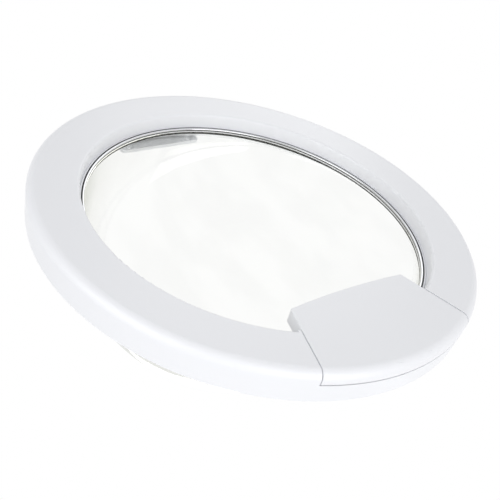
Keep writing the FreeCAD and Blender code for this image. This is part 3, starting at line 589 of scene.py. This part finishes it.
class DOOR_OT_rear_frame(bpy.types.Operator):
    """Finishes the grained frame that clamps the glass"""

    bl_idname = "door.rear_frame"
    bl_label = "Rear frame"

    def execute(self, context):
        grey = moulded_plastic("grained_rear_frame", context.scene.door_finishes.grey, roughness=0.5,
                               grain_scale=800.0, grain_depth=0.00008)
        dress(grey, "inner_frame")
        return {"FINISHED"}


class DOOR_OT_window(bpy.types.Operator):
    """Finishes the glass bowl, its rubber channel and the chrome bead"""

    bl_idname = "door.window"
    bl_label = "Glass, seal and bead"

    def execute(self, context):
        finishes = context.scene.door_finishes
        sizes = context.scene.door_window
        dress(pressed_glass("pressed_glass", finishes.glass), "glass_bowl")
        dress(moulded_rubber("pale_silicone_seal", finishes.rubber), "glass_seal")
        dress(bright_chrome("bright_bead", finishes.chrome, finishes.white, sizes), "trim_ring")
        NODES["glass_bowl"].visible_shadow = False
        return {"FINISHED"}


class DOOR_OT_hinge(bpy.types.Operator):
    """Finishes the hinge castings, the bushes, all pins and the handle's lever"""

    bl_idname = "door.hinge"
    bl_label = "Hinge"

    def execute(self, context):
        finishes = context.scene.door_finishes
        coated = powder_coat("coated_hinge_casting", finishes.white)
        dress(coated, "hinge_plate", "hinge_bracket_upper", "hinge_bracket_lower")
        dress(cast_metal("lever_casting", finishes.alloy), "handle_lever")
        pin = plated_metal("ground_pin", finishes.steel, roughness=0.25, grain_depth=0.00001,
                           stretch=GRAIN_ALONG_Z)
        dress(pin, "hinge_pin", "handle_pin", "latch_pin")
        acetal = moulded_plastic("bush_acetal", finishes.bush, roughness=0.4,
                                 grain_scale=600.0, grain_depth=0.00003)
        dress(acetal, "hinge_bush_upper", "hinge_bush_lower")
        return {"FINISHED"}


class DOOR_OT_latch(bpy.types.Operator):
    """Finishes the hook, its bracket and both springs"""

    bl_idname = "door.latch"
    bl_label = "Latch"

    def execute(self, context):
        finishes = context.scene.door_finishes
        plated = plated_metal("plated_latch", finishes.plated, roughness=0.34, grain_depth=0.00002,
                              stretch=GRAIN_ALONG_Y)
        dress(plated, "latch_hook", "latch_bracket")
        wire = plated_metal("drawn_wire", finishes.wire, roughness=0.3, grain_depth=0.00001)
        dress(wire, "latch_spring", "handle_spring")
        return {"FINISHED"}


class DOOR_OT_screws(bpy.types.Operator):
    """Models the cross-head screws of the frame, the hinge and the latch"""

    bl_idname = "door.screws"
    bl_label = "Screws"

    def execute(self, context):
        sizes = context.scene.door_screws
        steel = plated_metal("screw_zinc", context.scene.door_finishes.steel, roughness=0.28,
                             grain_depth=0.00001)
        angles = [sizes.first + sizes.step * index for index in range(sizes.each_side)]
        frame_places = [(sizes.circle * math.cos(turn), sizes.circle * math.sin(turn) * side)
                        for turn in angles for side in (1, -1)]
        hinge_places = [(-math.sqrt(sizes.hinge_circle ** 2 - height ** 2), height * side)
                        for height in sizes.hinge_heights for side in (1, -1)]
        latch_places = [(sizes.latch_reach, sizes.latch_height * side) for side in (1, -1)]
        groups = (
            ("frame_screws", frame_places, sizes.shank_radius, sizes.frame_length),
            ("hinge_screws", hinge_places, sizes.hinge_shank_radius, sizes.hinge_length),
            ("latch_screws", latch_places, sizes.shank_radius, sizes.latch_length),
        )
        for node, places, radius, shank in groups:
            piece = screw_group("cross_" + node, sizes, places, radius, shank)
            piece.data.materials.append(steel)
            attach(piece, "door")
            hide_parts(node)
        return {"FINISHED"}


class DOOR_OT_studio(bpy.types.Operator):
    """Sets the floor, the light and the camera"""

    bl_idname = "door.studio"
    bl_label = "Studio"

    def execute(self, context):
        studio = context.scene.door_studio
        context.scene.view_settings.view_transform = "Standard"
        lay_floor(studio)
        light_world(studio)
        for side in ("face", "under", "side", "back"):
            add_softbox(studio, side)
        set_camera(studio)
        return {"FINISHED"}


# Sidebar and registration

OPERATORS = (DOOR_OT_mouldings, DOOR_OT_rear_frame, DOOR_OT_window, DOOR_OT_hinge, DOOR_OT_latch,
             DOOR_OT_screws, DOOR_OT_studio)
GROUPS = {"door_finishes": DoorFinishes, "door_window": DoorWindow, "door_screws": DoorScrews,
          "door_studio": DoorStudio}


class DOOR_PT_sidebar(bpy.types.Panel):
    """Lists the steps that dress the door"""

    bl_idname = "DOOR_PT_sidebar"
    bl_label = "Washing machine door"
    bl_space_type = "VIEW_3D"
    bl_region_type = "UI"
    bl_category = "Door"

    def draw(self, context):
        for operator in OPERATORS:
            self.layout.operator(operator.bl_idname)
        for name, group in GROUPS.items():
            values = getattr(context.scene, name)
            box = self.layout.box()
            for key in group.__annotations__:
                box.prop(values, key)


def register():
    for name, group in GROUPS.items():
        bpy.utils.register_class(group)
        setattr(bpy.types.Scene, name, PointerProperty(type=group))
    for operator in OPERATORS:
        bpy.utils.register_class(operator)
    bpy.utils.register_class(DOOR_PT_sidebar)


def unregister():
    bpy.utils.unregister_class(DOOR_PT_sidebar)
    for operator in reversed(OPERATORS):
        bpy.utils.unregister_class(operator)
    for name, group in GROUPS.items():
        delattr(bpy.types.Scene, name)
        bpy.utils.unregister_class(group)


def main():
    register()
    bpy.ops.door.mouldings()
    bpy.ops.door.rear_frame()
    bpy.ops.door.window()
    bpy.ops.door.hinge()
    bpy.ops.door.latch()
    bpy.ops.door.screws()
    bpy.ops.door.studio()


if __name__ == "__main__":
    main()
